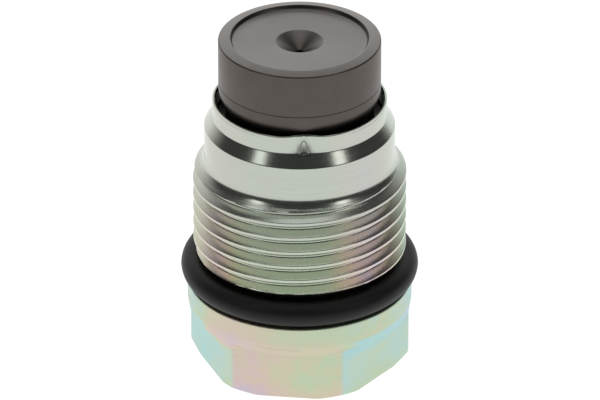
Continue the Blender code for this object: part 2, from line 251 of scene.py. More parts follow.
def arc(centre_radius, centre_height, radius, start, end, steps):
    """Points along an arc in the (radius, height) plane, with angles in degrees."""
    angles = np.radians(np.linspace(start, end, steps + 1))
    across = centre_radius + radius * np.cos(angles)
    return list(zip(across, centre_height + radius * np.sin(angles)))


def dense(points, step):
    """Divide the straight runs of an outline so that no run is longer than a step."""
    made = [points[0]]
    for (r0, z0), (r1, z1) in zip(points, points[1:]):
        count = max(1, math.ceil(math.hypot(r1 - r0, z1 - z0) / step))
        for k in range(1, count + 1):
            made.append((r0 + (r1 - r0) * k / count, z0 + (z1 - z0) * k / count))
    return made


def eased(points, size, steps=3):
    """Round each inner corner of an outline with a small curve of a given reach."""
    made = [points[0]]
    for before, here, after in zip(points, points[1:], points[2:]):
        before, here, after = (np.array(p, float) for p in (before, here, after))
        back = before - here
        ahead = after - here
        reach = min(size, 0.4 * np.linalg.norm(back), 0.4 * np.linalg.norm(ahead))
        start = here + back / np.linalg.norm(back) * reach
        end = here + ahead / np.linalg.norm(ahead) * reach
        for k in range(steps + 1):
            t = k / steps
            point = (1 - t) ** 2 * start + 2 * t * (1 - t) * here + t**2 * end
            made.append((float(point[0]), float(point[1])))
    made.append(points[-1])
    return made


def eased_loop(points, size):
    """Round every corner of a closed outline but its first."""
    return eased(points + [points[0]], size)[:-1]


def smooth_min(first, second, reach):
    """The smaller of two values, blended where they are within a reach of each other."""
    share = np.clip(0.5 + 0.5 * (second - first) / reach, 0, 1)
    return second * (1 - share) + first * share - reach * share * (1 - share)


def turn_from(azimuth, middle):
    """Azimuths measured from a middle one, the short way round."""
    return (azimuth - middle + math.pi) % (2 * math.pi) - math.pi


def turned_piece(name, outline, columns=160):
    """Turn an outline about the axis: closed on itself unless it starts and ends on the axis."""
    skin = Skin(even_azimuths(columns))
    rings = [skin.ring(radius, height) for radius, height in outline]
    skin.stack(rings)
    if outline[0][0] > 0:
        skin.band(rings[-1], rings[0])
    return finish_mesh(name, skin.vertices, skin.faces)


def apply_boolean(item, cutter):
    """Cut a piece once and for all, and remove the cutter."""
    modifier = item.modifiers.new("cut", "BOOLEAN")
    modifier.operation = "DIFFERENCE"
    modifier.solver = "EXACT"
    modifier.object = cutter
    bpy.context.view_layer.objects.active = item
    bpy.ops.object.modifier_apply(modifier=modifier.name)
    bpy.data.objects.remove(cutter, do_unlink=True)


# ---------------------------------------------------------------- holder


def holder_azimuths():
    """Azimuths round the holder, closer together at the stakes."""
    coarse = even_azimuths(HOLDER_COLUMNS)
    reach = STAKE_REACH / LIP_RADIUS
    fine = []
    for stake in STAKE_AZIMUTHS:
        coarse = coarse[np.abs(turn_from(coarse, stake)) > reach]
        fine.extend(stake + np.linspace(-reach, reach, STAKE_COLUMNS))
    return np.sort(np.concatenate([coarse, np.array(fine) % (2 * math.pi)]))


def apothem_at(height):
    """Distance of the hexagon's flats from the axis, curving out to the ledge under the collar."""
    into = np.clip((height - HEX_TOP) / HEX_FILLET + 1, 0, 1)
    return HEX_APOTHEM + HEX_FILLET * (1 - np.sqrt(1 - into * into))


def hex_radius(height, azimuth):
    """Radius of the hexagon's surface, with rounded corners."""
    nearest = None
    for k in range(6):
        facing = np.maximum(np.cos(azimuth - HEX_FLAT_AZIMUTH - k * math.pi / 3), 0.2)
        radius = apothem_at(height) / facing
        nearest = radius if nearest is None else smooth_min(nearest, radius, HEX_CORNER_ROUNDING)
    return nearest


def collar_outline():
    """The holder's turned outline from the end chamfer up to the thread's lower end."""
    corners = [
        (END_CHAMFER_RADIUS, 0.0),
        (HEX_CORNER_RADIUS, END_CHAMFER_HEIGHT),
        (HEX_CORNER_RADIUS, HEX_TOP - 0.2),
        (COLLAR_RADIUS, COLLAR_BOTTOM),
        (COLLAR_RADIUS, COLLAR_TOP),
        (NECK_RADIUS, COLLAR_TOP),
        (NECK_RADIUS, THREAD_BOTTOM - 0.25),
        (THREAD_ROOT_RADIUS - 0.1, THREAD_BOTTOM),
    ]
    return dense(eased(corners, 0.12), COLLAR_STEP)


def sway(azimuth, height):
    """How far the forged ledge under the collar rises and falls round the valve."""
    values = [noise.noise(Vector((4.0 * math.sin(turn), -4.0 * math.cos(turn), 0.7))) for turn in azimuth]
    fade = math.exp(-(((height - HEX_TOP) / FORGING_REACH) ** 2))
    return FORGING_SWING * np.array(values) * fade


def hexagon_and_collar(skin):
    """Rings from the centre of the end face up to the thread; returns them."""
    azimuth = skin.azimuth
    edge = smooth_min(END_CHAMFER_RADIUS, hex_radius(0.0, azimuth), 0.05)
    rings = [skin.ring(0, 0.0)]
    rings += [skin.ring(edge * share, 0.0) for share in (0.35, 0.7, 0.95)]
    rings.append(skin.ring(edge - 0.06, 0.0))
    outline = collar_outline()
    clear = 0.03
    hexagon = [point for point in outline if clear < point[1] < HEX_TOP - clear]
    rim = hexagon[-1][0] + 0.02
    chamfer = 0.04
    skip = 0.005
    for radius, height in hexagon + [(rim - chamfer, HEX_TOP)]:
        cut = smooth_min(radius, hex_radius(height, azimuth), 0.1)
        rings.append(skin.ring(cut, height + sway(azimuth, height)))
    rings.append(skin.ring(rim - chamfer, HEX_TOP + skip + sway(azimuth, HEX_TOP)))
    for radius, height in [(rim, HEX_TOP + skip + chamfer)] + outline:
        if height > HEX_TOP + chamfer:
            rings.append(skin.ring(radius, height + sway(azimuth, height)))
    return rings


def thread_rows():
    """One pitch of the thread from the middle of its crest upwards: (height, radius) points."""
    middle = THREAD_PITCH / 2
    root = []
    for angle in np.radians(np.linspace(60, -60, 13)):
        height = middle - THREAD_ROOT_ROUNDING * math.sin(angle)
        root.append((height, THREAD_ROOT_RADIUS + THREAD_ROOT_ROUNDING * (1 - math.cos(angle))))
    crest = [(0.0, THREAD_RADIUS), (THREAD_CREST_WIDTH / 2, THREAD_RADIUS), root[0]]
    rising = eased(crest, 0.05, 4)[:-1]
    falling = [(THREAD_PITCH - height, radius) for height, radius in reversed(rising)]
    return dense(rising + root + falling, THREAD_STEP)[:-1]


def thread_band(skin, low_ring, high_ring, low_radius, high_radius):
    """Fill the space between two rings with a right-hand thread that runs out at both ends."""
    rows = thread_rows()
    turns_below = math.ceil((THREAD_CREST_HEIGHT - THREAD_BOTTOM) / THREAD_PITCH) + 1
    turns = turns_below + math.ceil((THREAD_TOP - THREAD_CREST_HEIGHT) / THREAD_PITCH) + 1
    start = THREAD_CREST_HEIGHT - turns_below * THREAD_PITCH
    skip = 0.004
    made = {}

    def vertex(row, column):
        if row == len(rows):
            row, column = 0, column + skin.columns
        turn, place = divmod(column, skin.columns)
        offset, radius = rows[row]
        azimuth = skin.azimuth[place]
        height = start + THREAD_PITCH * (turn + azimuth / (2 * math.pi)) + offset
        if height < THREAD_BOTTOM + skip:
            return low_ring[place]
        if height > THREAD_TOP - skip:
            return high_ring[place]
        if (row, column) not in made:
            at_bottom = low_radius + 1.1 * (height - THREAD_BOTTOM)
            at_top = high_radius + 1.2 * (THREAD_TOP - height)
            radius = smooth_min(smooth_min(radius, at_bottom, 0.06), at_top, 0.06)
            made[row, column] = len(skin.vertices)
            skin.vertices.append(polar(np.array(radius), azimuth, height))
        return made[row, column]

    for column in range(turns * skin.columns):
        for row in range(len(rows)):
            lower = (vertex(row, column), vertex(row, column + 1))
            upper = (vertex(row + 1, column + 1), vertex(row + 1, column))
            skin.face(lower + upper)


def nose_outline():
    """The holder's turned outline from the top of the thread over the lip and down the bore."""
    shoulder = [(THREAD_TOP_RADIUS, THREAD_TOP)]
    fillet = arc(BODY_RADIUS + BODY_FILLET, BODY_BOTTOM, BODY_FILLET, 225, 180, 20)
    cone = [
        (BODY_RADIUS, BODY_TOP - 1.0),
        (BODY_RADIUS, BODY_TOP),
        (LIP_RADIUS, LIP_BOTTOM),
        (LIP_RADIUS, LIP_BOTTOM + 0.8),
    ]
    lip = [
        (LIP_RADIUS, LIP_TOP - 0.12),
        (LIP_RADIUS - 0.03, LIP_TOP - 0.03),
        (LIP_RADIUS - 0.09, LIP_TOP),
        (LIP_RADIUS - 0.2, LIP_TOP - 0.03),
        (BORE_RADIUS, LIP_TOP - 0.3),
        (BORE_RADIUS, FLANGE_TOP + 0.02),
    ]
    return dense(shoulder + fillet + eased(cone, 0.07, 4) + lip, NOSE_STEP)


def punch_depth(across, height):
    """Depth of the punch mark: a bell that narrows upwards, with a crease up to the lip's edge."""
    down = (PUNCH_TOP - height) / PUNCH_ARCH
    if height < LIP_BOTTOM:
        along = max(0.0, 1 - (LIP_BOTTOM - height) / PUNCH_FOOT)
    else:
        along = math.sqrt(max(0.0, 1 - max(0.0, 1 - down) ** 2))
    half_width = (PUNCH_HALF_WIDTH + PUNCH_FLARE * max(0.0, down - 1)) * max(along, 0.05)
    bell = PUNCH_DEPTH * along * (1 - np.clip(across / half_width, 0, 1) ** 3)
    if height > PUNCH_TOP - 0.1:
        return np.maximum(bell, CREASE_DEPTH * np.clip(1 - across / CREASE_HALF_WIDTH, 0, 1))
    return bell


def stake_push(azimuth, height):
    """How far the stakes push the lip inwards, as an array over azimuth."""
    pushed = np.zeros_like(azimuth)
    if height < BODY_TOP + 0.3:
        return pushed
    above = max(height - LIP_BOTTOM + 0.05, 0.0)
    lean = STAKE_LEAN * above + STAKE_BOW * (1 - math.exp(-above / STAKE_BOW_HEIGHT))
    width = STAKE_BEND_WIDTH - STAKE_BEND_NARROWING * above
    for stake in STAKE_AZIMUTHS:
        across = np.abs(turn_from(azimuth, stake)) * LIP_RADIUS
        bend = lean * np.exp(-((across / width) ** 2))
        pushed = np.maximum(pushed, bend + punch_depth(across, height))
    return pushed


def nose(skin):
    """Rings from the top of the thread over the lip, down the bore and along the chamber."""
    rings = []
    for radius, height in nose_outline():
        push = stake_push(skin.azimuth, height)
        drop = 0.0
        if height > LIP_TOP - 0.35:
            # The lip's edge stands higher at the stakes than between them.
            drop = STAKE_RISE * np.exp(-((push / STAKE_RISE_PUSH) ** 2))
        rings.append(skin.ring(radius - push, height - drop))
    inner = [
        (BORE_RADIUS, BORE_SHOULDER),
        (CHAMBER_RADIUS + 0.1, BORE_SHOULDER),
        (CHAMBER_RADIUS, BORE_SHOULDER - 0.1),
        (CHAMBER_RADIUS, CHAMBER_END + 0.3),
        (CHAMBER_RADIUS - 0.3, CHAMBER_END),
        (0, CHAMBER_END),
    ]
    rings += [skin.ring(radius, height) for radius, height in inner]
    return rings


def make_holder():
    """The holder: hexagon, collar, neck, thread, nose, staked lip, bore and spring chamber."""
    skin = Skin(holder_azimuths())
    below = hexagon_and_collar(skin)
    above = nose(skin)
    skin.stack(below)
    skin.stack(above)
    low_radius = collar_outline()[-1][0]
    high_radius = nose_outline()[0][0]
    thread_band(skin, below[-1], above[0], low_radius, high_radius)
    return finish_mesh("holder_plated", skin.vertices, skin.faces)


# ---------------------------------------------------------------- seal and insert


def make_seal():
    """The ring seal: a round rubber section with the faint moulding line of its two halves."""
    outer = span("flange_o_ring")[2]
    outline = []
    for angle in np.linspace(-math.pi, math.pi, 97)[:-1]:
        line = MOULDING_LINE * math.exp(-((angle / 0.04) ** 2))
        radius = SEAL_TUBE_RADIUS - MOULDING_LINE + line
        across = outer - SEAL_TUBE_RADIUS + radius * math.cos(angle)
        outline.append((across, SEAL_HEIGHT + radius * math.sin(angle)))
    return turned_piece("seal_rubber", outline, 360)


def insert_outline():
    """Outline of the insert: up its outside, over the rim and down through its bore."""
    bottom, top, _ = span("valve_insert")
    flange_bottom = BORE_SHOULDER + 0.05
    return [
        (GUIDE_RADIUS + 0.2, bottom),
        (SLEEVE_RADIUS - 0.2, bottom),
        (SLEEVE_RADIUS, bottom + 0.2),
        (SLEEVE_RADIUS, flange_bottom),
        (FLANGE_RADIUS - 0.25, flange_bottom),
        (FLANGE_RADIUS, flange_bottom + 0.25),
        (FLANGE_RADIUS, FLANGE_TOP),
        (WAIST_RADIUS, FLANGE_TOP),
        (WAIST_RADIUS, HEAD_BOTTOM - 0.15),
        *arc(HEAD_RADIUS - HEAD_ROUNDING, HEAD_BOTTOM + 0.47 * HEAD_ROUNDING, HEAD_ROUNDING, -28, 0, 16),
        (HEAD_RADIUS, MARK_HEIGHT - MARK_HALF_WIDTH),
        (HEAD_RADIUS - MARK_DEPTH, MARK_HEIGHT),
        (HEAD_RADIUS, MARK_HEIGHT + MARK_HALF_WIDTH),
        (HEAD_RADIUS, top - 0.27),
        (HEAD_RADIUS - 0.08, top - 0.18),
        (RIM_INNER_RADIUS + RIM_LAND, top),
        (RIM_INNER_RADIUS, top),
        (RIM_INNER_RADIUS - 0.03, top - 0.08),
        (RIM_INNER_RADIUS - 0.16, DISH_FLOOR + 0.08),
        (RIM_INNER_RADIUS - 0.5, DISH_FLOOR),
        (INLET_RADIUS, DISH_FLOOR),
        (ORIFICE_RADIUS, INLET_BOTTOM),
        (ORIFICE_RADIUS, SEAT_TOP),
        (SEAT_MOUTH_RADIUS, SEAT_MOUTH),
        (GUIDE_RADIUS, GUIDE_TOP),
        (GUIDE_RADIUS, bottom + 0.2),
    ]


def outlet_drill(turn):
    """The drill for one outlet hole, from the guide bore out through the waist."""
    bm = bmesh.new()
    length = 5.0
    bmesh.ops.create_cone(
        bm,
        cap_ends=True,
        segments=48,
        radius1=OUTLET_RADIUS * MM,
        radius2=OUTLET_RADIUS * MM,
        depth=length * MM,
        matrix=Matrix.Rotation(math.radians(90), 4, "X"),
    )
    centre = Vector((0, -(GUIDE_RADIUS - 0.6 + length / 2), OUTLET_HEIGHT)) * MM
    bmesh.ops.translate(bm, verts=bm.verts, vec=centre)
    return cutter_object(bm, turn)


def vent_slot(turn):
    """The slot that joins the spring chamber to the space round the waist."""
    bm = bmesh.new()
    bmesh.ops.create_cube(bm, size=1.0)
    depth = FLANGE_RADIUS - VENT_FLOOR_RADIUS + 1.0
    height = VENT_TOP - BORE_SHOULDER + 1.0
    bmesh.ops.scale(bm, verts=bm.verts, vec=Vector((VENT_WIDTH, depth, height)) * MM)
    centre = Vector((0, -(VENT_FLOOR_RADIUS + depth / 2), VENT_TOP - height / 2)) * MM
    bmesh.ops.translate(bm, verts=bm.verts, vec=centre)
    return cutter_object(bm, turn)


def cutter_object(bm, turn):
    """Turn a cutter's bmesh about the axis and make it an object."""
    bmesh.ops.rotate(bm, verts=bm.verts, matrix=Matrix.Rotation(turn, 3, "Z"))
    mesh = bpy.data.meshes.new("cutter")
    bm.to_mesh(mesh)
    bm.free()
    cutter = bpy.data.objects.new("cutter", mesh)
    bpy.context.scene.collection.objects.link(cutter)
    return cutter


def make_insert():
    """The hardened insert with its rim, dish, inlet cone, outlets and vents."""
    insert = turned_piece("insert_hardened", eased_loop(insert_outline(), 0.06), 288)
    for k in range(3):
        turn = 2 * math.pi * k / 3
        apply_boolean(insert, outlet_drill(turn))
        apply_boolean(insert, vent_slot(turn + math.pi / 3))
    insert.data.set_sharp_from_angle(angle=math.radians(35))
    return insert


# ---------------------------------------------------------------- pieces inside


def make_piston():
    """The piston: foot, grooved guide land, stem and conical tip."""
    bottom, tip, land = span("valve_piston")
    outline = [
        (0, bottom),
        (PISTON_FOOT_RADIUS - 0.2, bottom),
        (PISTON_FOOT_RADIUS, bottom + 0.2),
        (PISTON_FOOT_RADIUS, PISTON_FOOT_TOP),
        (land, LAND_BOTTOM),
    ]
    for height in PISTON_GROOVES:
        low = height - GROOVE_HALF_WIDTH
        high = height + GROOVE_HALF_WIDTH
        floor = land - GROOVE_DEPTH
        outline += [(land, low), (floor, low), (floor, high), (land, high)]
    outline += [
        (land, LAND_TOP - 0.2),
        (land - 0.2, LAND_TOP),
        (STEM_RADIUS, LAND_TOP),
        (STEM_RADIUS, STEM_TOP),
        (TIP_RADIUS, tip - 0.05),
        (0, tip),
    ]
    return turned_piece("piston_ground", eased(outline, 0.05))


def make_plate():
    """The plate between spring and piston, with its spigot."""
    bottom, top, rim = span("spring_plate")
    under = bottom + SPIGOT_LENGTH
    outline = [
        (0, bottom),
        (SPIGOT_RADIUS - 0.2, bottom),
        (SPIGOT_RADIUS, bottom + 0.2),
        (SPIGOT_RADIUS, under),
        (rim, under),
        (rim, top - 0.2),
        (rim - 0.2, top),
        (0, top),
    ]
    return turned_piece("plate_ground", eased(outline, 0.06))


def coil_rise(turn, rise):
    """Height of the wire's centre after some turns, with the end turns wound closed."""
    open_turns = COIL_TURNS - 2 * CLOSED_TURNS
    open_pitch = (rise - 2 * CLOSED_TURNS * CLOSED_PITCH) / open_turns
    before = min(turn, CLOSED_TURNS)
    middle = min(max(turn - CLOSED_TURNS, 0.0), open_turns)
    after = max(turn - CLOSED_TURNS - open_turns, 0.0)
    return (before + after) * CLOSED_PITCH + middle * open_pitch


def make_spring():
    """The compression spring, with closed end turns ground flat."""
    bottom, top, _ = span("valve_spring")
    rise = top - bottom - 1.5 * WIRE_RADIUS
    steps = round(COIL_TURNS * 72)
    sides = 28
    angle = 2 * math.pi * (np.arange(sides) + 0.5) / sides
    vertices = []
    for step in range(steps + 1):
        turn = COIL_TURNS * step / steps
        centre = bottom + 0.75 * WIRE_RADIUS + coil_rise(turn, rise)
        height = np.clip(centre + WIRE_RADIUS * np.sin(angle), bottom, top)
        radius = COIL_RADIUS + WIRE_RADIUS * np.cos(angle)
        vertices.extend(polar(radius, np.full(sides, 2 * math.pi * turn), height))
    faces = []
    for step in range(steps):
        here = step * sides
        for k in range(sides):
            ahead = (k + 1) % sides
            faces.append((here + k, here + ahead, here + sides + ahead, here + sides + k))
    faces.append(tuple(range(sides)))
    faces.append(tuple(range(steps * sides, (steps + 1) * sides)))
    return finish_mesh("spring_wire", vertices, faces, 40)


def make_seat_ring():
    """The ring that the spring stands on."""
    bottom, top, rim = span("spring_seat")
    foot_radius = 2.6
    pin_hole = PIN_RADIUS + 0.06
    foot_top = bottom + PIN_FOOT_HEIGHT + 0.05
    ledge = top - SPIGOT_LENGTH
    outline = [
        (foot_radius, bottom),
        (rim - 0.1, bottom),
        (rim, bottom + 0.1),
        (rim, ledge),
        (SPIGOT_RADIUS, ledge),
        (SPIGOT_RADIUS, top - 0.2),
        (SPIGOT_RADIUS - 0.2, top),
        (pin_hole, top),
        (pin_hole, foot_top),
        (foot_radius, foot_top),
    ]
    return turned_piece("seat_ground", eased_loop(outline, 0.05))


def make_pin():
    """The stop pin inside the spring, with its foot."""
    bottom, top, foot = span("stop_pin")
    outline = [
        (0, bottom),
        (foot, bottom),
        (foot, bottom + PIN_FOOT_HEIGHT),
        (PIN_RADIUS, bottom + PIN_FOOT_HEIGHT),
        (PIN_RADIUS, top - 0.2),
        (PIN_RADIUS - 0.2, top),
        (0, top),
    ]
    return turned_piece("pin_ground", eased(outline, 0.06), 128)


def make_shim(node):
    """One shim, with the slightly rounded edge that punching leaves."""
    bottom, top, rim = span(node)
    outline = [(0, bottom), (rim, bottom), (rim, top), (0, top)]
    return turned_piece(node + "_strip", eased(outline, 0.05))


# ---------------------------------------------------------------- materials


class Graph:
    """A node tree with short calls for the nodes used here."""

    def __init__(self, owner):
        owner.use_nodes = True
        self.tree = owner.node_tree

    def node(self, kind, **settings):
        """Add a node and set its properties."""
        made = self.tree.nodes.new(kind)
        for key, value in settings.items():
            setattr(made, key, value)
        return made

    def link(self, source, target):
        """Feed a socket from another one, or give it a constant."""
        if isinstance(source, bpy.types.NodeSocket):
            self.tree.links.new(source, target)
        elif isinstance(source, tuple) and len(source) == 3 and len(target.default_value) == 4:
            target.default_value = (*source, 1.0)
        else:
            target.default_value = source

    def math(self, operation, *values):
        """A math node on sockets or numbers."""
        made = self.node("ShaderNodeMath", operation=operation)
        for value, target in zip(values, made.inputs):
            self.link(value, target)
        return made.outputs[0]

    def add(self, *values):
        """The sum of several sockets or numbers."""
        total = values[0]
        for value in values[1:]:
            total = self.math("ADD", total, value)
        return total

    def times(self, first, second):
        """The product of two sockets or numbers."""
        return self.math("MULTIPLY", first, second)

    def split(self, vector):
        """The three parts of a vector."""
        made = self.node("ShaderNodeSeparateXYZ")
        self.link(vector, made.inputs[0])
        return made.outputs

    def position(self, stretch=(1, 1, 1)):
        """Object position in millimetres, stretched along each axis."""
        place = self.node("ShaderNodeTexCoord").outputs["Object"]
        made = self.node("ShaderNodeVectorMath", operation="MULTIPLY")
        self.link(place, made.inputs[0])
        self.link(tuple(s / MM for s in stretch), made.inputs[1])
        return made.outputs[0]

    def noise(self, stretch, detail=3.0, roughness=0.5, distortion=0.0):
        """Noise whose grain along each axis is given in features per millimetre."""
        made = self.node("ShaderNodeTexNoise")
        self.link(self.position(stretch), made.inputs["Vector"])
        made.inputs["Scale"].default_value = 1.0
        made.inputs["Detail"].default_value = detail
        made.inputs["Roughness"].default_value = roughness
        made.inputs["Distortion"].default_value = distortion
        return made.outputs["Fac"]

    def remap(self, value, low, high, to_low=0.0, to_high=1.0):
        """Map a range smoothly onto another."""
        made = self.node("ShaderNodeMapRange", interpolation_type="SMOOTHSTEP")
        for source, target in zip((value, low, high, to_low, to_high), made.inputs):
            self.link(source, target)
        return made.outputs[0]

    def ramp(self, value, stops):
        """A colour ramp, from stops of (place, colour or grey level)."""
        made = self.node("ShaderNodeValToRGB")
        elements = made.color_ramp.elements
        while len(elements) < len(stops):
            elements.new(1.0)
        for element, (place, level) in zip(elements, stops):
            element.position = place
            colour = level if isinstance(level, tuple) else (level, level, level)
            element.color = (*colour, 1.0)
        self.link(value, made.inputs[0])
        return made.outputs[0]

    def round_axis(self, azimuth, stops):
        """A level that follows the azimuth, from stops of (degrees, level)."""
        share = self.math("DIVIDE", self.add(azimuth, math.pi), 2 * math.pi)
        places = [((degrees + 180) / 360, level) for degrees, level in stops]
        return self.ramp(share, places)

    def mix(self, share, first, second, blend="MIX"):
        """Mix two colours."""
        made = self.node("ShaderNodeMix", data_type="RGBA", blend_type=blend)
        self.link(share, made.inputs[0])
        self.link(first, made.inputs[6])
        self.link(second, made.inputs[7])
        return made.outputs[2]

    def bump(self, height, strength, distance, before=None):
        """Bump from a height, whose full range stands for a distance in millimetres."""
        made = self.node("ShaderNodeBump")
        made.inputs["Strength"].default_value = strength
        made.inputs["Distance"].default_value = distance * MM
        self.link(height, made.inputs["Height"])
        if before is not None:
            self.link(before, made.inputs["Normal"])
        return made.outputs[0]

    def shade(self, **values):
        """Set or feed the Principled shader's sockets."""
        shader = self.tree.nodes["Principled BSDF"]
        for key, value in values.items():
            self.link(value, shader.inputs[key.replace("_", " ")])


# Tints of the passivated zinc, in the order in which they follow one another over the surface.
TINTS = [
    (0.00, (0.67, 0.59, 0.69)),
    (0.12, (0.74, 0.59, 0.59)),
    (0.26, (0.74, 0.63, 0.50)),
    (0.40, (0.68, 0.68, 0.48)),
    (0.54, (0.59, 0.71, 0.50)),
    (0.68, (0.55, 0.72, 0.63)),
    (0.84, (0.45, 0.74, 0.74)),
    (1.00, (0.52, 0.64, 0.77)),
]
ZINC_SILVER = (0.488, 0.522, 0.475)

# Where each region of the holder stands in that run, by azimuth in degrees.
FRONT_TINTS = [
    (-180, 0.5), (-37, 0.12), (-24, 0.25), (-12, 0.36), (-3, 0.43),
    (6, 0.45), (16, 0.48), (23, 0.38), (180, 0.5),
]
SIDE_TINTS = [
    (-180, 0.62), (-120, 0.7), (-80, 0.84), (-58, 0.76), (-40, 0.58),
    (23, 0.74), (36, 0.66), (50, 0.62), (75, 0.7), (180, 0.62),
]
COLLAR_TINTS = [
    (-180, 0.5), (-85, 0.62), (-60, 0.56), (-53, 0.3), (-36, 0.16), (-18, 0.3),
    (0, 0.42), (25, 0.48), (50, 0.5), (68, 0.62), (88, 0.82), (180, 0.5),
]
THREAD_TINTS = [
    (-180, 0.5), (-75, 0.34), (-52, 0.14), (-34, 0.44), (0, 0.5), (16, 0.46),
    (27, 0.26), (42, 0.06), (58, 0.2), (78, 0.6), (180, 0.5),
]

# How far the painted shadow band under the collar's ledge moves the tint along the run, by azimuth in
# degrees, where 0.5 is no move.
LEDGE_SHADE_SHIFTS = [(-180, 0.6), (-112, 0.6), (-96, 0.0), (-25, 0.0), (0, 0.68), (180, 0.6)]

# How strongly the tints show: on the thread by azimuth in degrees, and on the whole holder by height, as
# a share of TINT_HEIGHT.
THREAD_STRENGTHS = [(-180, 0.7), (-50, 0.9), (-28, 0.5), (14, 0.5), (32, 1.0), (55, 0.9), (180, 0.7)]
TINT_HEIGHT = 28.0
HEIGHT_STRENGTHS = [(0.0, 1.0), (0.3, 0.85), (0.36, 0.9), (0.62, 0.5), (0.7, 0.2), (0.8, 0.16), (1.0, 0.24)]


def tint_phases(g, azimuth, radius, z):
    """Where each region of the zinc stands in the run of tints: front face, side faces, collar, thread."""
    front = g.round_axis(azimuth, FRONT_TINTS)
    side = g.round_axis(azimuth, SIDE_TINTS)
    collar = g.round_axis(azimuth, COLLAR_TINTS)
    thread = g.round_axis(azimuth, THREAD_TINTS)
    low = g.remap(z, 0.2, 1.8, 1.0, 0.0)
    # Painted shadow: the band just under the forged ledge, deepening with the overhang, takes a shifted
    # tint where the ledge would shade the flats.
    under_ledge_shade = g.remap(g.add(z, g.times(radius, -0.75)), -3.3, -2.7)
    ledge = g.times(under_ledge_shade, g.add(g.round_axis(azimuth, LEDGE_SHADE_SHIFTS), -0.5))
    front = g.add(front, g.times(low, -0.14))
    side = g.add(side, ledge, g.times(low, -0.08))
    far = g.add(g.remap(azimuth, -1.06, -0.94, 0.3, 0.0), g.remap(azimuth, 0.38, 0.6, 0.0, 0.38))
    far = g.times(far, g.remap(z, 5.9, 6.4, 1.0, 0.0))
    collar = g.add(collar, g.remap(z, 5.6, 7.4, -0.07, 0.07), far)
    return front, side, collar, thread


def punch_shade(g, azimuth, z):
    """Painted shade in the stake marks: darker along the edge of the bell and round its lower part."""
    turn = g.math("WRAP", g.add(azimuth, -STAKE_AZIMUTHS[0]), math.pi / 3, -math.pi / 3)
    across = g.times(turn, LIP_RADIUS / PUNCH_HALF_WIDTH)
    rise = g.times(g.math("MAXIMUM", g.add(z, 0.55 - PUNCH_TOP), 0.0), 1 / 0.45)
    out = g.math("SQRT", g.add(g.times(across, across), g.times(rise, rise)))
    edge = g.remap(g.math("ABSOLUTE", g.add(out, -1.0)), 0.05, 0.5, 0.6, 0.0)
    low = g.times(g.remap(out, 0.2, 0.9, 0.6, 1.0), g.remap(out, 1.0, 2.8, 0.85, 0.0))
    low = g.times(low, g.remap(z, PUNCH_TOP - 0.85, PUNCH_TOP - 0.05, 1.0, 0.0))
    return g.times(g.math("MAXIMUM", edge, low), g.remap(z, LIP_BOTTOM - 0.25, LIP_BOTTOM))


def zinc_tint(g, azimuth, radius, z, on_thread):
    """The tint of the passivation, region by region, wandering in soft patches."""
    front, side, collar, thread = tint_phases(g, azimuth, radius, z)
    patches = g.noise((0.42, 0.42, 0.5), 3.0, 0.55, 0.8)
    wander = g.times(g.add(patches, -0.5), 0.6)
    slow = g.times(wander, 0.6)
    left_corner, right_corner = (HEX_FLAT_AZIMUTH + math.radians(turn) for turn in (-30, 30))
    blend = math.radians(1.5)
    facing = g.times(
        g.remap(azimuth, left_corner - blend, left_corner + blend),
        g.remap(azimuth, right_corner - blend, right_corner + blend, 1.0, 0.0),
    )
    tint = g.mix(facing, g.ramp(g.add(side, slow), TINTS), g.ramp(g.add(front, wander), TINTS))
    tint = g.mix(g.remap(z, HEX_TOP - 0.05, HEX_TOP + 0.15), tint, g.ramp(g.add(collar, slow), TINTS))
    return g.mix(on_thread, tint, g.ramp(g.add(thread, slow), TINTS))


def zinc_material():
    """Zinc plating whose pale passivation changes tint over the hexagon, collar and thread."""
    material = bpy.data.materials.new("zinc_passivated")
    g = Graph(material)
    x, y, z = g.split(g.position())
    azimuth = g.math("ARCTAN2", x, g.times(y, -1.0))
    radius = g.math("SQRT", g.add(g.times(x, x), g.times(y, y)))
    on_thread = g.remap(z, 9.5, 10.5)
    tint = zinc_tint(g, azimuth, radius, z, on_thread)
    by_height = g.ramp(g.math("DIVIDE", z, TINT_HEIGHT), HEIGHT_STRENGTHS)
    by_azimuth = g.mix(on_thread, (1.0, 1.0, 1.0), g.round_axis(azimuth, THREAD_STRENGTHS))
    colour = g.mix(g.times(by_height, by_azimuth), ZINC_SILVER, tint)

    lines = g.noise((0.08, 0.08, 7.0), 4.0, 0.65)
    streaks = g.noise((0.22, 0.22, 2.6), 3.0, 0.6)
    colour = g.mix(0.12, colour, g.ramp(lines, [(0.3, 0.5), (0.7, 1.0)]), "MULTIPLY")
    colour = g.mix(g.remap(streaks, 0.62, 0.72, 0.0, 0.14), colour, (0.25, 0.22, 0.17))
    # Painted shade: the stake marks' bell outline and lower part are darkened almost to black.
    colour = g.mix(punch_shade(g, azimuth, z), colour, (0.1, 0.1, 0.095))
    grain = g.noise((6.0, 6.0, 6.0), 3.0, 0.6)
    forged = g.remap(z, 8.0, 9.5, 1.0, 0.0)
    threaded = g.times(g.remap(z, 8.0, 9.5), g.remap(z, THREAD_TOP, THREAD_TOP + 0.2, 1.0, 0.0))
    rough = g.add(g.times(lines, 0.1), g.times(grain, 0.06))
    rough = g.add(rough, g.times(forged, 0.22), g.times(threaded, 0.06), 0.12)
    normal = g.bump(lines, 0.2, 0.006)
    normal = g.bump(grain, 0.1, 0.012, normal)
    g.shade(Base_Color=colour, Metallic=g.add(1.0, g.times(forged, -0.2)), Roughness=rough, Normal=normal)
    return material


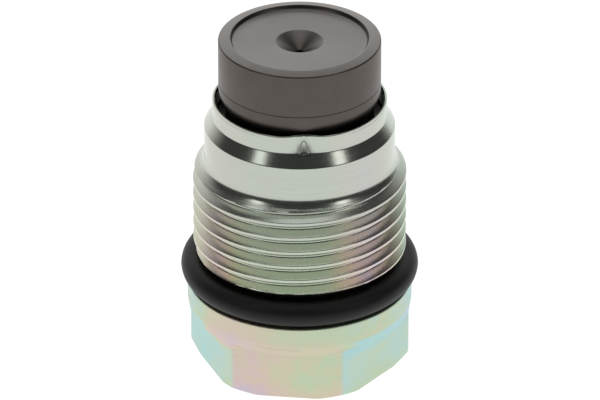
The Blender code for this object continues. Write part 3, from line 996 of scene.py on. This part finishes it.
def insert_material():
    """Dark hardened steel: satin, finely turned, with its upward faces painted brighter as if lit from
    above.
    """
    material = bpy.data.materials.new("hardened_dark")
    g = Graph(material)
    up = g.split(g.node("ShaderNodeNewGeometry").outputs["Normal"])[2]
    cloud = g.noise((0.5, 0.5, 0.5), 3.0, 0.6)
    turned_lines = g.noise((0.1, 0.1, 9.0), 3.0, 0.6)
    side = g.mix(cloud, (0.094, 0.081, 0.072), (0.12, 0.105, 0.095))
    ground = g.mix(cloud, (0.258, 0.24, 0.228), (0.297, 0.276, 0.264))
    # Painted light: faces that point up take the lighter colour, standing in for brighter light on the end
    # and dish.
    colour = g.mix(g.remap(up, 0.8, 0.98), side, ground)
    scuffs = g.noise((1.6, 1.6, 4.0), 5.0, 0.7)
    colour = g.mix(g.remap(scuffs, 0.66, 0.8, 0.0, 0.3), colour, (0.3, 0.29, 0.28))
    rough = g.add(g.times(turned_lines, 0.12), 0.34)
    g.shade(Base_Color=colour, Metallic=1.0, Roughness=rough, Normal=g.bump(turned_lines, 0.15, 0.006))
    return material


def rubber_material():
    """Black rubber with a soft sheen and fine moulding grain."""
    material = bpy.data.materials.new("seal_black_rubber")
    g = Graph(material)
    grain = g.noise((6.0, 6.0, 6.0), 4.0, 0.65)
    dust = g.noise((1.3, 1.3, 1.3), 4.0, 0.7)
    colour = g.mix(dust, (0.004, 0.004, 0.0045), (0.009, 0.009, 0.01))
    rough = g.add(g.times(dust, 0.16), 0.42)
    g.shade(Base_Color=colour, Roughness=rough, Specular_IOR_Level=0.3, Normal=g.bump(grain, 0.12, 0.01))
    return material


def steel_material(name, light, dark, roughness, lines_per_mm):
    """Bare machined steel with fine turning or grinding lines."""
    material = bpy.data.materials.new(name)
    g = Graph(material)
    lines = g.noise((0.3, 0.3, lines_per_mm), 3.0, 0.6)
    cloud = g.noise((0.8, 0.8, 0.8), 3.0, 0.6)
    colour = g.mix(cloud, dark, light)
    rough = g.add(g.times(lines, 0.12), roughness)
    g.shade(Base_Color=colour, Metallic=1.0, Roughness=rough, Normal=g.bump(lines, 0.2, 0.005))
    return material


# ---------------------------------------------------------------- stage


def direction(azimuth, elevation):
    """Unit vector towards an azimuth and an elevation, both in degrees."""
    turn = math.radians(azimuth)
    rise = math.radians(elevation)
    flat = math.cos(rise)
    return Vector((math.sin(turn) * flat, -math.cos(turn) * flat, math.sin(rise)))


def make_camera():
    """The camera: level, looking down at 29 degrees from the side with the front stake mark."""
    elevation = 29.18
    target = Vector((0.0325, 0.0, 16.1)) * MM
    data = bpy.data.cameras.new("camera")
    data.sensor_width = 36.0
    data.lens = 450.6
    data.clip_end = 10.0
    camera = bpy.data.objects.new("camera", data)
    camera.location = target + direction(0, elevation) * 0.7
    camera.rotation_euler = (math.radians(90 - elevation), 0.0, 0.0)
    bpy.context.scene.collection.objects.link(camera)
    bpy.context.scene.camera = camera


def make_floor():
    """A plain white floor that glows evenly, as a lit sweep does."""
    bm = bmesh.new()
    bmesh.ops.create_grid(bm, x_segments=1, y_segments=1, size=3.0)
    mesh = bpy.data.meshes.new("floor")
    bm.to_mesh(mesh)
    bm.free()
    floor = bpy.data.objects.new("floor", mesh)
    floor.location.z = -0.02 * MM
    material = bpy.data.materials.new("floor_white")
    g = Graph(material)
    white = (1.0, 1.0, 1.0)
    g.shade(Base_Color=(0.3, 0.3, 0.3), Roughness=0.9, Emission_Color=white, Emission_Strength=0.95)
    mesh.materials.append(material)
    bpy.context.scene.collection.objects.link(floor)


def softbox(name, centre, along, size, radiance):
    """A rectangular light that faces the valve, with its long side along a direction."""
    data = bpy.data.lights.new(name, "AREA")
    data.shape = "RECTANGLE"
    data.size, data.size_y = size
    data.energy = radiance * math.pi * size[0] * size[1]
    light = bpy.data.objects.new(name, data)
    back = centre.normalized()
    upward = (along - back * along.dot(back)).normalized()
    across = upward.cross(back)
    turned = Matrix((across, upward, back)).transposed()
    light.matrix_world = Matrix.Translation(centre) @ turned.to_4x4()
    bpy.context.scene.collection.objects.link(light)


def make_lights():
    """Two softboxes above and beside the camera, and one overhead."""
    distance = 0.6
    for side, name, radiance in ((-1, "softbox_left", 1.65), (1, "softbox_right", 1.85)):
        low = direction(side * 50, 30) * distance
        high = direction(side * 73, 62) * distance
        softbox(name, (low + high) / 2, high - low, (0.125, (high - low).length), radiance)
    softbox("softbox_overhead", Vector((0, 0, distance)), Vector((0, 1, 0)), (0.36, 0.36), 0.9)


def make_world():
    """A studio that is white behind the valve and dark elsewhere, but pale to the camera."""
    world = bpy.data.worlds.new("studio")
    bpy.context.scene.world = world
    g = Graph(world)
    toward = g.split(g.node("ShaderNodeTexCoord").outputs["Generated"])
    behind = g.add(toward[1], g.times(toward[0], -0.12))
    level = g.remap(behind, 0.33, 0.92, 0.055, 1.0)
    seen = g.node("ShaderNodeLightPath").outputs["Is Camera Ray"]
    background = g.tree.nodes["Background"]
    g.link(g.mix(seen, level, (0.95, 0.95, 0.95)), background.inputs["Color"])


# ---------------------------------------------------------------- the valve and its stage


def dress(piece, body, material, node):
    """Give a piece its material and slot, and put it on its body in place of a CAD node."""
    piece.data.materials.append(material)
    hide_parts(node)
    if body:
        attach(piece, body)


def build_valve():
    """Make every piece of the valve and put it where its CAD node is."""
    ground = steel_material("steel_ground", (0.62, 0.62, 0.63), (0.5, 0.5, 0.51), 0.16, 20.0)
    wire = steel_material("steel_spring", (0.24, 0.23, 0.22), (0.15, 0.145, 0.14), 0.3, 4.0)
    strip = steel_material("steel_shim", (0.55, 0.55, 0.57), (0.42, 0.42, 0.44), 0.22, 2.0)
    dress(make_holder(), "holder", zinc_material(), "valve_holder")
    dress(make_seal(), "holder", rubber_material(), "flange_o_ring")
    dress(make_insert(), "holder", insert_material(), "valve_insert")
    dress(make_piston(), "piston", ground, "valve_piston")
    dress(make_plate(), "piston", ground, "spring_plate")
    dress(make_seat_ring(), "holder", ground, "spring_seat")
    dress(make_pin(), "holder", ground, "stop_pin")
    for node in ("shim_coarse", "shim_medium", "shim_fine"):
        dress(make_shim(node), "holder", strip, node)
    spring = make_spring()
    dress(spring, None, wire, "valve_spring")
    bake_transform(spring)


def corners(box):
    """A box as plain lists of numbers."""
    return [[float(x) for x in corner] for corner in box]


build_valve()
make_camera()
make_floor()
make_lights()
make_world()
bpy.context.scene.view_settings.view_transform = "Standard"
